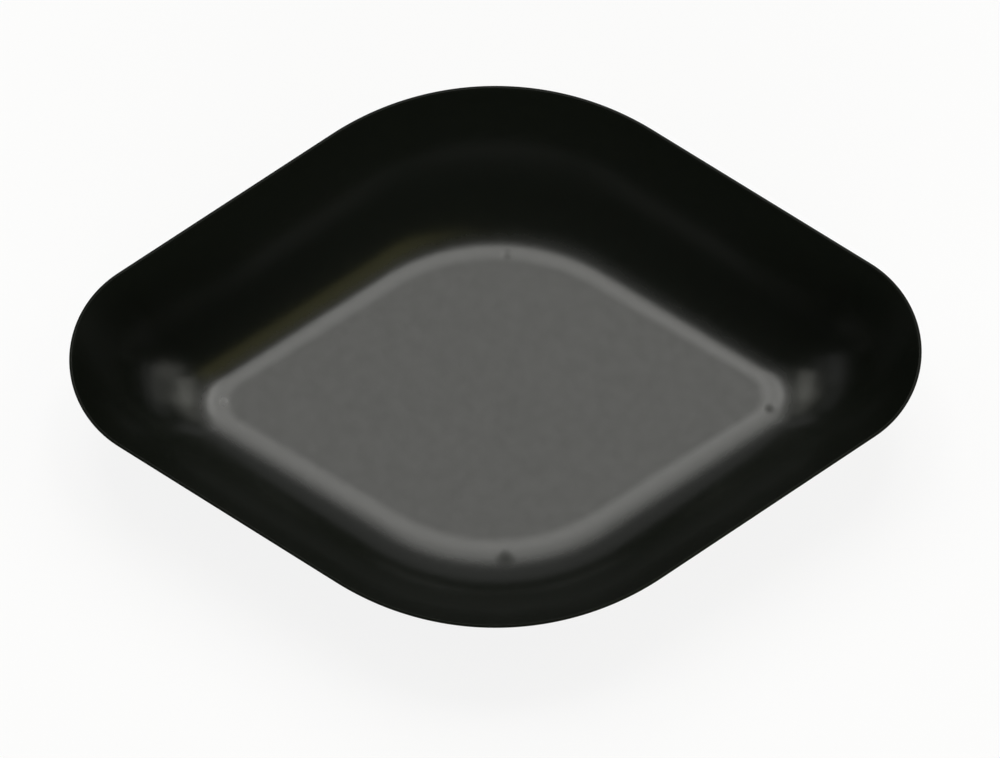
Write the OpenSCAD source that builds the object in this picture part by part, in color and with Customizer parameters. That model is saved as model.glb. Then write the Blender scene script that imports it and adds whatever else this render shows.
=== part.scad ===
// Diamond-shaped weighing boat, thermoformed in one piece from thin plastic sheet.
// The origin is at the centre of the base. X runs along the pouring corners and Z is up.

/* [Rim] */
// Length over the two pouring corners
rim_length = 85.1; // [80:0.1:95]
// Width over the two blunt corners
rim_width = 57.5; // [52:0.1:62]
// Radius of the pouring corners, seen from above
rim_tip_radius = 11.1; // [8:0.1:14]
// Radius of the blunt corners, seen from above
rim_side_radius = 28.7; // [22:0.1:34]
// Height of the trimmed edge's outer corner above the base
rim_height = 13.4; // [10:0.1:16]

/* [Floor] */
// Length of the flat floor
floor_length = 54.2; // [48:0.1:62]
// Width of the flat floor
floor_width = 30.5; // [27:0.1:34]
// Radius of the floor's corners below the pouring corners
floor_tip_radius = 2.4; // [1.5:0.1:4]
// Radius of the floor's corners below the blunt corners
floor_side_radius = 18.5; // [12:0.5:22]

/* [Wall] */
// Thickness of the formed sheet
sheet = 0.3; // [0.25:0.05:0.6]
// Slope of the wall just above its bend at the floor, in degrees, before it is fitted to its height
foot_slope = 3; // [0:1:8]
// Slope of the wall at the trimmed edge, in degrees, before it is fitted to its height
edge_slope = 69.5; // [58:0.5:76]
// How early the wall steepens on its way up
steepening = 1.68; // [1.2:0.02:2.2]
// Share of the wall's length that the bend at the floor takes
foot_share = 0.11; // [0.1:0.01:0.3]

/* [Vent marks] */
// Diameter of the small hollows that the mould's vent holes leave inside the boat
vent_diameter = 0.7; // [0.5:0.05:0.8]
// Depth of those hollows
vent_depth = 0.08; // [0.06:0.01:0.1]

/* [Hidden] */

// Facets up the wall, and round one pouring corner and one blunt corner
wall_steps = 28;
tip_steps = 16;
side_steps = 16;
ring_size = 2 * (tip_steps + 1) + 2 * (side_steps + 1);

// A ring this share of the wall's run inside the floor's edge keeps the floor flat
floor_inset = -0.06;

function mix(a, b, t) = a + (b - a) * t;
function ease(t) = t * t * (3 - 2 * t);
function unit(v) = v / norm(v);

// Share of the wall's length at step i, in finer steps near the floor
function share(i) = (i / wall_steps) ^ 1.5;

// Slope of the sheet at the share t of the way from the floor to the trimmed edge
function slope(t) =
    ease(min(t / foot_share, 1)) * mix(foot_slope, edge_slope, 1 - (1 - t) ^ steepening);

// One step of the wall's section
function stride(i) =
    let (a = slope((share(i) + share(i + 1)) / 2))
    (share(i + 1) - share(i)) * [cos(a), sin(a)];

// The section of the wall, walked up step by step and scaled to run 0 to 1 both ways
walk = [for (i = 0, p = [0, 0]; i <= wall_steps; p = p + stride(i), i = i + 1) p];
walk_end = walk[wall_steps];
section = [for (p = walk) [p.x / walk_end.x, p.y / walk_end.y]];

// Centres of the vent marks: x, y and their share of the wall's run, which gives the height
vent_marks = [
    [mix(floor_length, rim_length, 0.05) / 2 - 0.4, -1.4, 0.05],
    [1.4, floor_width / 2, 0],
    [0.1 - floor_length / 2, 0.6, 0.01],
    [0.8, -mix(floor_width, rim_width, 0.08) / 2, 0.08]
];
vent_radius = (vent_diameter ^ 2 / 4 + vent_depth ^ 2) / (2 * vent_depth);

function corner(centre, radius, from, to, steps) = [
    for (i = [0:steps])
        let (a = mix(from, to, i / steps))
        centre + radius * [cos(a), sin(a)]
];

// A diamond with rounded corners: four arcs, joined by the straight sides that touch them
function diamond(length, width, tip_radius, side_radius) =
    let (
        tip = length / 2 - tip_radius,
        side = width / 2 - side_radius,
        a = acos((side_radius - tip_radius) / norm([tip, side])) - atan(side / tip)
    )
    concat(
        corner([tip, 0], tip_radius, -a, a, tip_steps),
        corner([0, side], side_radius, a, 180 - a, side_steps),
        corner([-tip, 0], tip_radius, 180 - a, 180 + a, tip_steps),
        corner([0, -side], side_radius, 180 + a, 360 - a, side_steps)
    );

// One ring of the skin: u goes from the floor's edge, 0, to the rim, 1, and z is its height
function ring(u, z) = [
    for (
        p = diamond(
            mix(floor_length, rim_length, u),
            mix(floor_width, rim_width, u),
            mix(floor_tip_radius, rim_tip_radius, u),
            mix(floor_side_radius, rim_side_radius, u)
        )
    ) [p.x, p.y, z]
];

outer_rings = concat([ring(floor_inset, 0)], [for (p = section) ring(p.x, p.y * rim_height)]);
last_ring = len(outer_rings) - 1;

// Direction into the boat, square to the outer skin
function inward(i, j) =
    let (
        forward = outer_rings[i][(j + 1) % ring_size],
        back = outer_rings[i][(j + ring_size - 1) % ring_size],
        above = outer_rings[min(i + 1, last_ring)][j],
        below = outer_rings[max(i - 1, 0)][j]
    )
    unit(cross(above - below, forward - back));

inner_rings = [
    for (i = [0:last_ring])
        [for (j = [0:ring_size - 1]) outer_rings[i][j] + sheet * inward(i, j)]
];

// Two triangles at each step round between two rings, whose first points are low and high
function band(low, high) = [
    for (j = [0:ring_size - 1])
        let (k = (j + 1) % ring_size)
        each [[low + j, high + j, high + k], [low + j, high + k, low + k]]
];

// The formed sheet before the vents mark it
module formed_sheet() {
    inner = len(outer_rings) * ring_size;
    top = last_ring * ring_size;
    polyhedron(
        points = [for (r = concat(outer_rings, inner_rings)) each r],
        faces = concat(
            [[for (j = [0:ring_size - 1]) j]],
            [for (i = [0:last_ring - 1]) each band(i * ring_size, (i + 1) * ring_size)],
            band(top, inner + top),
            [for (i = [last_ring:-1:1]) each band(inner + i * ring_size, inner + (i - 1) * ring_size)],
            [[for (j = [ring_size - 1:-1:0]) inner + j]]
        ),
        convexity = 6
    );
}

module boat()
    color([0.07, 0.07, 0.07])
    difference() {
        formed_sheet();
        for (mark = vent_marks)
            translate([mark.x, mark.y, rim_height * lookup(mark.z, section) + sheet + vent_radius - vent_depth])
                sphere(r = vent_radius, $fn = 32);
    }

boat();
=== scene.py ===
import math

import bmesh
import bpy
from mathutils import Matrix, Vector


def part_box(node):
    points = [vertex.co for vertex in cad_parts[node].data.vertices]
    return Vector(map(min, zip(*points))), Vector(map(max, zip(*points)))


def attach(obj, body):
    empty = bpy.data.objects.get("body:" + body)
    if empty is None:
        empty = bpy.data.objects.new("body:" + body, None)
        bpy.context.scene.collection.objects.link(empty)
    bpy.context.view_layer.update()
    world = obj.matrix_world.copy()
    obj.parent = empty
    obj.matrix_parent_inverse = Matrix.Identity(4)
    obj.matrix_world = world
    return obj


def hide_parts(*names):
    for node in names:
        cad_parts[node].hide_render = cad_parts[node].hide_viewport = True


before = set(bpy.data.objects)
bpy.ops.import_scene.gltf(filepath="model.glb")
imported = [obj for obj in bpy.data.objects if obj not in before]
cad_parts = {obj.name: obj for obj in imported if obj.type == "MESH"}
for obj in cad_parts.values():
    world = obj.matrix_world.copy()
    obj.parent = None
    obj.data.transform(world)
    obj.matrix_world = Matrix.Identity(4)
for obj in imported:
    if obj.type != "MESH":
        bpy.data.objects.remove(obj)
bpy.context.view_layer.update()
print("frame loaded with nodes", sorted(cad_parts))

mm = 0.001
scene = bpy.context.scene
scene.view_settings.view_transform = "Standard"


def mix(a, b, t):
    return a + (b - a) * t


def ease(t):
    t = min(max(t, 0.0), 1.0)
    return t * t * (3 - 2 * t)


boat = {
    "floorLength": 54.2 * mm,
    "floorWidth": 30.5 * mm,
    "floorTipRadius": 2.4 * mm,
    "floorSideRadius": 18.5 * mm,
    "rimTipRadius": 11.1 * mm,
    "rimSideRadius": 28.7 * mm,
    "sheet": 0.3 * mm,
    "footSlope": 3,  # degrees, before the section is stretched to its height
    "edgeSlope": 69.5,
    "steepening": 1.68,  # how early the wall steepens on its way up
    "footShare": 0.11,  # of the wall's length
    "wallRings": 60,
    "crowding": 1.5,  # how much closer the rings lie at the foot of the wall; 1 spaces them evenly
    "tipPoints": 56,
    "sidePoints": 64,
    "straightPoints": 30,
    "edgeRings": 3,  # round each corner of the trimmed edge
    "edgeSoftness": 0.12,  # radius of those corners, as a share of the sheet's thickness
    "edgeRun": 1.1,  # wallRun of the trimmed edge, which tells the material where it is
    "floorInset": 0.12,  # of the wall's run: how far the rings reach into the flat floor
    "floorRings": 6,
}

# the marks that the mould's vent holes leave inside the boat, each a shallow hollow with its own finish
vents = {
    "marks": [  # in mm, but for dull, which is added to the roughness
        {"at": (27.6, -1.5), "hollow": 0.9, "depth": 0.025, "dullSpot": 0.75, "dull": 0.22},
        {"at": (1.4, 15.35), "hollow": 0.8, "depth": 0.025, "dullSpot": 0.6, "dull": 0.1},
        {"at": (-27.3, 0.1), "hollow": 0.8, "depth": 0.02, "dullSpot": 0.75, "dull": -0.09},
        {"at": (0.75, -17.05), "hollow": 1.2, "depth": 0.05, "dullSpot": 1.3, "dull": 0.32},
    ],
    "reach": 1.5 * mm,  # how far from a mark the mesh is made finer
    "cuts": 3,
    "facesUp": 0.5,  # upward part of a normal, past which it belongs to the inner skin
}


# slope of the wall in radians, at the share t of the way up its length
def slopeAt(t):
    foot, edge = boat["footSlope"], boat["edgeSlope"]
    curve = foot + (edge - foot) * (1 - (1 - t) ** boat["steepening"])
    return math.radians(curve * ease(t / boat["footShare"]))


# the wall's section, from the floor's edge at (0, 0) to the rim at (1, 1), in finer steps at the foot
def wallSection():
    count = boat["wallRings"]
    shares = [(k / count) ** boat["crowding"] for k in range(count + 1)]
    run, rise = 0.0, 0.0
    walk = [(run, rise)]
    for below, above in zip(shares, shares[1:]):
        slope = slopeAt((below + above) / 2)
        run += (above - below) * math.cos(slope)
        rise += (above - below) * math.sin(slope)
        walk.append((run, rise))
    return [(x / run, z / rise) for x, z in walk]


def arcPoints(centre, radius, start, end, count):
    angles = [mix(start, end, k / count) for k in range(count + 1)]
    return [centre + radius * Vector((math.cos(a), math.sin(a))) for a in angles]


# a diamond with rounded corners, anticlockwise, with its straight sides divided too
def diamond(length, width, tipRadius, sideRadius):
    tip = length / 2 - tipRadius
    side = width / 2 - sideRadius
    a = math.acos((sideRadius - tipRadius) / math.hypot(tip, side)) - math.atan(side / tip)
    halfTurn = math.pi
    corners = [
        arcPoints(Vector((tip, 0)), tipRadius, -a, a, boat["tipPoints"]),
        arcPoints(Vector((0, side)), sideRadius, a, halfTurn - a, boat["sidePoints"]),
        arcPoints(Vector((-tip, 0)), tipRadius, halfTurn - a, halfTurn + a, boat["tipPoints"]),
        arcPoints(Vector((0, -side)), sideRadius, halfTurn + a, 2 * halfTurn - a, boat["sidePoints"]),
    ]
    points = []
    for k, corner in enumerate(corners):
        following = corners[(k + 1) % 4][0]
        steps = boat["straightPoints"]
        points += corner
        points += [corner[-1].lerp(following, j / steps) for j in range(1, steps)]
    return points


# one ring of the outer skin; u is 0 at the floor's edge and 1 at the rim
def ringPoints(u, z, rimLength, rimWidth):
    flat = diamond(
        mix(boat["floorLength"], rimLength, u),
        mix(boat["floorWidth"], rimWidth, u),
        mix(boat["floorTipRadius"], boat["rimTipRadius"], u),
        mix(boat["floorSideRadius"], boat["rimSideRadius"], u),
    )
    return [Vector((p.x, p.y, z)) for p in flat]


# directions into the boat, square to the outer skin, for each point of ring i
def inwardFrom(rings, i):
    above, below = rings[min(i + 1, len(rings) - 1)], rings[max(i - 1, 0)]
    here = rings[i]
    count = len(here)
    return [
        (above[j] - below[j]).cross(here[(j + 1) % count] - here[j - 1]).normalized()
        for j in range(count)
    ]


# rings over the trimmed edge, from the outer skin to the inner skin, with both its corners rounded
def edgeRings(below, outside, inside):
    count, soft = boat["edgeRings"], boat["edgeSoftness"]
    quarter = [math.pi / 2 * k / count for k in range(count + 1)]
    across = [soft * (1 - math.cos(turn)) for turn in quarter]
    raised = [soft * math.sin(turn) for turn in quarter]
    across = across[1:] + [1 - share for share in across[-1:0:-1]]
    raised = raised[1:] + raised[-1:0:-1]
    rings = []
    for share, height in zip(across, raised):
        ring = []
        for lower, out, into in zip(below, outside, inside):
            upward = (out - lower).normalized()
            ring.append(out.lerp(into, share) + upward * boat["sheet"] * height)
        rings.append(ring)
    return rings


# every ring with its wallRun: up the outer skin, round the trimmed edge and down the inner skin
def shellRings():
    low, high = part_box("boat")
    rimLength, rimWidth = high.x - low.x, high.y - low.y
    sheet = boat["sheet"]
    edge = math.cos(slopeAt(1)) * sheet + math.sin(slopeAt(1)) * sheet * boat["edgeSoftness"]
    rise = high.z - low.z - edge
    inset, count = boat["floorInset"], boat["floorRings"]
    section = [(-inset * (1 - k / count), 0.0) for k in range(count)] + wallSection()
    outer = [ringPoints(u, low.z + v * rise, rimLength, rimWidth) for u, v in section]
    inward = [inwardFrom(outer, i) for i in range(len(outer))]
    inner = [[p + sheet * n for p, n in zip(ring, ns)] for ring, ns in zip(outer, inward)]
    runs = [u for u, v in section]
    rings = list(zip(outer, runs))
    rings += [(ring, boat["edgeRun"]) for ring in edgeRings(outer[-2], outer[-1], inner[-1])]
    rings += zip(reversed(inner), reversed(runs))
    return rings


def ringEdges(bm, verts):
    return [bm.edges.get((verts[k - 1], verts[k])) for k in range(len(verts))]


# extrudes a ring of edges to new points, and returns the new ring in the same order
def growRing(bm, verts, points):
    old = set(verts)
    grown = bmesh.ops.extrude_edge_only(bm, edges=ringEdges(bm, verts))["geom"]
    partner = {}
    for vert in (g for g in grown if isinstance(g, bmesh.types.BMVert)):
        for edge in vert.link_edges:
            if edge.other_vert(vert) in old:
                partner[edge.other_vert(vert)] = vert
    ring = [partner[v] for v in verts]
    for vert, point in zip(ring, points):
        vert.co = point
    return ring


# the closed shell, grown ring by ring, with one flat face under the floor and one on it
def makeShell():
    rings = shellRings()
    points, run = rings[0]
    bm = bmesh.new()
    wallRun = bm.verts.layers.float.new("wallRun")
    count, radius = len(points), boat["floorLength"] / 2
    base = bmesh.ops.create_circle(bm, cap_ends=False, segments=count, radius=radius)["verts"]
    for vert, point in zip(base, points):
        vert.co = point
        vert[wallRun] = run
    ring = base
    for points, run in rings[1:]:
        ring = growRing(bm, ring, points)
        for vert in ring:
            vert[wallRun] = run
    for border in (base, ring):
        bmesh.ops.contextual_create(bm, geom=ringEdges(bm, border))
    bmesh.ops.recalc_face_normals(bm, faces=bm.faces)
    return bm


# a smooth mound, 1 at the centre and 0 from the radius outwards
def mound(away, radius):
    return max(0.0, 1 - (away / radius) ** 2) ** 2


# sinks the inner skin at each vent mark and changes its finish; the outer skin stays as it is
def markVents(bm):
    finish = bm.verts.layers.float.new("ventFinish")
    marks = [(Vector(mark["at"]) * mm, mark) for mark in vents["marks"]]

    def near(vert):
        return min((vert.co.xy - place).length for place, mark in marks) < vents["reach"]

    def inside(part):
        return part.normal.z > vents["facesUp"]

    fine = [
        edge
        for edge in bm.edges
        if all(near(vert) for vert in edge.verts) and all(inside(face) for face in edge.link_faces)
    ]
    bmesh.ops.subdivide_edges(bm, edges=fine, cuts=vents["cuts"], use_grid_fill=True)
    for vert in filter(inside, bm.verts):
        for place, mark in marks:
            away = (vert.co.xy - place).length / mm
            vert.co.z -= mark["depth"] * mm * mound(away, mark["hollow"])
            vert[finish] += mark["dull"] * mound(away, mark["dullSpot"])
    # cut up here, because left alone these faces are cut a little differently in each run
    bmesh.ops.triangulate(bm, faces=[face for face in bm.faces if len(face.verts) > 4])
    bmesh.ops.recalc_face_normals(bm, faces=bm.faces)


def nodeOf(tree, kind, **values):
    node = tree.nodes.new(kind)
    for name, value in values.items():
        setattr(node, name, value)
    return node


def mathOf(tree, operation, first, second):
    node = nodeOf(tree, "ShaderNodeMath", operation=operation)
    tree.links.new(first, node.inputs[0])
    tree.links.new(second, node.inputs[1])
    return node.outputs[0]


# stretches a value from one range to another
def rangeOf(tree, value, source, target):
    node = nodeOf(tree, "ShaderNodeMapRange")
    for socket, number in zip(("From Min", "From Max", "To Min", "To Max"), (*source, *target)):
        node.inputs[socket].default_value = number
    tree.links.new(value, node.inputs["Value"])
    return node.outputs["Result"]


plastic = {
    "dark": (0.0046, 0.0057, 0.0041),
    "light": (0.0061, 0.0074, 0.0053),
    "ior": 1.47,
    # roughness by how far up the wall: negative on the floor, above 1 on the trimmed edge
    "finish": [(-0.055, 0.392), (0.035, 0.278), (0.14, 0.278), (0.27, 0.215), (1.0, 0.215), (1.05, 0.3)],
    "edgeStart": (1.0, 1.05),  # where the wall turns into the trimmed edge
    "sheen": (0.5, 0.12),  # specular level of the skins and of the trimmed edge
    "cloudScale": 800,  # of the faint patches in the black, per metre
    "cloudDetail": 4,
    "cloudRange": (0.3, 0.7),  # what the noise of the patches spans
    "mottle": 0.025,  # most that the patches add to the roughness
    "grainScale": 900,  # of the formed sheet's orange peel, per metre
    "grainHeight": 0.006 * mm,
}


# roughness up the wall, with the patches and the vent marks added
def makeFinish(tree, run, clouds):
    stops = plastic["finish"]
    start, end = stops[0][0], stops[-1][0]
    finish = nodeOf(tree, "ShaderNodeValToRGB")
    ramp = finish.color_ramp
    ramp.interpolation = "EASE"
    while len(ramp.elements) < len(stops):
        ramp.elements.new(0.5)
    for stop, (u, rough) in zip(ramp.elements, stops):
        stop.position = (u - start) / (end - start)
        stop.color = (rough, rough, rough, 1)
    tree.links.new(rangeOf(tree, run, (start, end), (0, 1)), finish.inputs["Fac"])
    mottle = rangeOf(tree, clouds, plastic["cloudRange"], (0, plastic["mottle"]))
    vent = nodeOf(tree, "ShaderNodeAttribute", attribute_name="ventFinish")
    patchy = mathOf(tree, "ADD", finish.outputs["Color"], mottle)
    return mathOf(tree, "ADD", patchy, vent.outputs["Fac"])


def makePlastic():
    mat = bpy.data.materials.new("blackPolystyrene")
    mat.use_nodes = True
    tree = mat.node_tree
    link = tree.links.new
    shader = tree.nodes["Principled BSDF"]
    shader.inputs["IOR"].default_value = plastic["ior"]
    where = nodeOf(tree, "ShaderNodeTexCoord").outputs["Object"]
    run = nodeOf(tree, "ShaderNodeAttribute", attribute_name="wallRun").outputs["Fac"]

    cloud = nodeOf(tree, "ShaderNodeTexNoise")
    cloud.inputs["Scale"].default_value = plastic["cloudScale"]
    cloud.inputs["Detail"].default_value = plastic["cloudDetail"]
    link(where, cloud.inputs["Vector"])
    tone = nodeOf(tree, "ShaderNodeMix", data_type="RGBA")
    tone.inputs["A"].default_value = (*plastic["dark"], 1)
    tone.inputs["B"].default_value = (*plastic["light"], 1)
    link(cloud.outputs["Fac"], tone.inputs["Factor"])
    link(tone.outputs["Result"], shader.inputs["Base Color"])

    link(makeFinish(tree, run, cloud.outputs["Fac"]), shader.inputs["Roughness"])
    sheen = rangeOf(tree, run, plastic["edgeStart"], plastic["sheen"])
    link(sheen, shader.inputs["Specular IOR Level"])

    grain = nodeOf(tree, "ShaderNodeTexNoise")
    grain.inputs["Scale"].default_value = plastic["grainScale"]
    link(where, grain.inputs["Vector"])
    peel = nodeOf(tree, "ShaderNodeBump")
    peel.inputs["Distance"].default_value = plastic["grainHeight"]
    link(grain.outputs["Fac"], peel.inputs["Height"])
    link(peel.outputs["Normal"], shader.inputs["Normal"])
    return mat


def makeBoat():
    bm = makeShell()
    markVents(bm)
    mesh = bpy.data.meshes.new("boatShell")
    bm.to_mesh(mesh)
    bm.free()
    for face in mesh.polygons:
        face.use_smooth = True
    mesh.materials.append(makePlastic())
    shell = bpy.data.objects.new("boatShell", mesh)
    scene.collection.objects.link(shell)
    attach(shell, "root")
    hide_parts("boat")
    print("shell made with", len(mesh.polygons), "faces")


makeBoat()


def aim(obj, target):
    obj.rotation_mode = "QUATERNION"
    obj.rotation_quaternion = (Vector(target) - obj.location).to_track_quat("-Z", "Y")


# direction from the boat: azimuth 0 is the far side, +Y, and 90 is +X
def towards(azimuth, elevation):
    a, e = math.radians(azimuth), math.radians(elevation)
    return Vector((math.sin(a) * math.cos(e), math.cos(a) * math.cos(e), math.sin(e)))


warmWhite = (1.0, 0.995, 0.96)
paleYellow = (1.0, 1.0, 0.92)
amber = (1.0, 0.93, 0.38)

lampDistance = 1.2  # metres from the boat, for a lamp that names none

# at is the azimuth and the elevation in degrees, size is in metres, and glow is the radiance
lamps = {
    "keyLight": {"at": (0, 58.5), "distance": 1.0, "size": (0.62, 0.65), "glow": 3.5, "tint": warmWhite},
    "keyRight": {"at": (31, 71), "distance": 1.0, "size": (0.175, 0.25), "glow": 8.2, "tint": warmWhite},
    "keyLeft": {"at": (-31, 71), "distance": 1.0, "size": (0.175, 0.25), "glow": 6.2, "tint": warmWhite},
    "highCard": {"at": (0, 84), "distance": 1.0, "size": (0.67, 0.26), "glow": 0.25},
    "backCard": {"at": (0, 27), "distance": 1.3, "size": (1.82, 0.6), "glow": 0.42},
    "rightLamp": {"at": (71, 52.5), "size": (0.5, 0.27), "glow": 2.0, "tint": paleYellow},
    "rightFrontLamp": {"at": (53, 45), "size": (0.5, 0.26), "glow": 1.0, "tint": paleYellow},
    "rightCard": {"at": (81, 36), "size": (0.78, 0.5), "glow": 0.5, "tint": paleYellow},
    "rightTail": {"at": (99, 38), "size": (0.4, 0.44), "glow": 0.5, "tint": paleYellow},
    "rightLow": {"at": (74, 23), "size": (1.0, 0.28), "glow": 0.24},
    "leftLamp": {"at": (-68, 51.5), "size": (0.54, 0.27), "glow": 1.9, "tint": paleYellow},
    "leftFrontLamp": {"at": (-50, 43), "size": (0.5, 0.26), "glow": 1.0, "tint": paleYellow},
    "leftCard": {"at": (-87, 34), "size": (0.6, 0.46), "glow": 0.2},
    "leftLow": {"at": (-72, 25), "size": (1.1, 0.3), "glow": 0.22},
    "warmCard": {"at": (117, 69), "size": (0.42, 0.34), "glow": 0.76, "tint": amber},
    "faintCard": {"at": (-100, 77), "size": (0.42, 0.32), "glow": 0.24},
    "frontFill": {"at": (180, 15), "distance": 1.3, "size": (1.9, 0.45), "glow": 4.9, "glossy": False},
}


def makeLamp(name, setting):
    data = bpy.data.lights.new(name, "AREA")
    data.shape = "RECTANGLE"
    data.size, data.size_y = setting["size"]
    data.energy = setting["glow"] * math.pi * data.size * data.size_y
    data.color = setting.get("tint", (1, 1, 1))
    lamp = bpy.data.objects.new(name, data)
    scene.collection.objects.link(lamp)
    lamp.location = towards(*setting["at"]) * setting.get("distance", lampDistance)
    aim(lamp, (0, 0, 0))
    lamp.visible_camera = False
    lamp.visible_glossy = setting.get("glossy", True)


for name, setting in lamps.items():
    makeLamp(name, setting)

roomTone = 0.03  # the dim room round the lamps
world = bpy.data.worlds.new("studio")
world.use_nodes = True
world.node_tree.nodes["Background"].inputs["Color"].default_value = (roomTone, roomTone, roomTone, 1)
scene.world = world
print("studio lit by", len(lamps), "lamps")

bench = {
    "halfWidth": 3,  # metres
    "tone": 0.9,
    "whiteness": 0.85,  # share of plain white that the camera and the reflections see
    "gap": 0.02 * mm,  # keeps its face clear of the boat's base
}


# white to the eye and in reflections, where it still shows a shadow, and plain paper to the lamps
def makeBenchPaper():
    mat = bpy.data.materials.new("benchPaper")
    mat.use_nodes = True
    tree = mat.node_tree
    link = tree.links.new
    tree.nodes.clear()
    paper = nodeOf(tree, "ShaderNodeBsdfDiffuse")
    paper.inputs["Color"].default_value = (bench["tone"], bench["tone"], bench["tone"], 1)
    white = nodeOf(tree, "ShaderNodeEmission")
    path = nodeOf(tree, "ShaderNodeLightPath")
    direct = mathOf(tree, "MAXIMUM", path.outputs["Is Camera Ray"], path.outputs["Is Glossy Ray"])
    seen = mathOf(tree, "MAXIMUM", direct, path.outputs["Is Transmission Ray"])
    share = nodeOf(tree, "ShaderNodeMath", operation="MULTIPLY")
    share.inputs[1].default_value = bench["whiteness"]
    link(seen, share.inputs[0])
    blend = nodeOf(tree, "ShaderNodeMixShader")
    link(share.outputs[0], blend.inputs["Fac"])
    link(paper.outputs["BSDF"], blend.inputs[1])
    link(white.outputs["Emission"], blend.inputs[2])
    surface = nodeOf(tree, "ShaderNodeOutputMaterial")
    link(blend.outputs["Shader"], surface.inputs["Surface"])
    return mat


def makeBench():
    bm = bmesh.new()
    bmesh.ops.create_grid(bm, x_segments=2, y_segments=2, size=bench["halfWidth"])
    bmesh.ops.translate(bm, verts=bm.verts, vec=(0, 0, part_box("boat")[0].z - bench["gap"]))
    mesh = bpy.data.meshes.new("benchTop")
    bm.to_mesh(mesh)
    bm.free()
    mesh.materials.append(makeBenchPaper())
    top = bpy.data.objects.new("benchTop", mesh)
    scene.collection.objects.link(top)


makeBench()
print("bench top laid")

view = {
    "azimuth": 180.8,
    "elevation": 70.3,
    "distance": 1.2,
    "frameWidth": 99.8 * mm,  # width of the view at the rim
    "aside": 0.45 * mm,  # how far right of the rim's centre it looks
    "below": 2.47 * mm,  # how far below the rim's centre it looks
    "sensorWidth": 36,  # in the camera's own millimetres
}


def makeCamera():
    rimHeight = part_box("boat")[1].z
    data = bpy.data.cameras.new("camera")
    data.sensor_width = view["sensorWidth"]
    data.lens = data.sensor_width * view["distance"] / view["frameWidth"]
    cam = bpy.data.objects.new("camera", data)
    scene.collection.objects.link(cam)
    back = towards(view["azimuth"], view["elevation"])
    right = Vector((0, 0, 1)).cross(back).normalized()
    up = back.cross(right)
    target = Vector((0, 0, rimHeight)) + right * view["aside"] - up * view["below"]
    cam.location = target + back * view["distance"]
    aim(cam, target)
    scene.camera = cam


makeCamera()
print("camera placed")
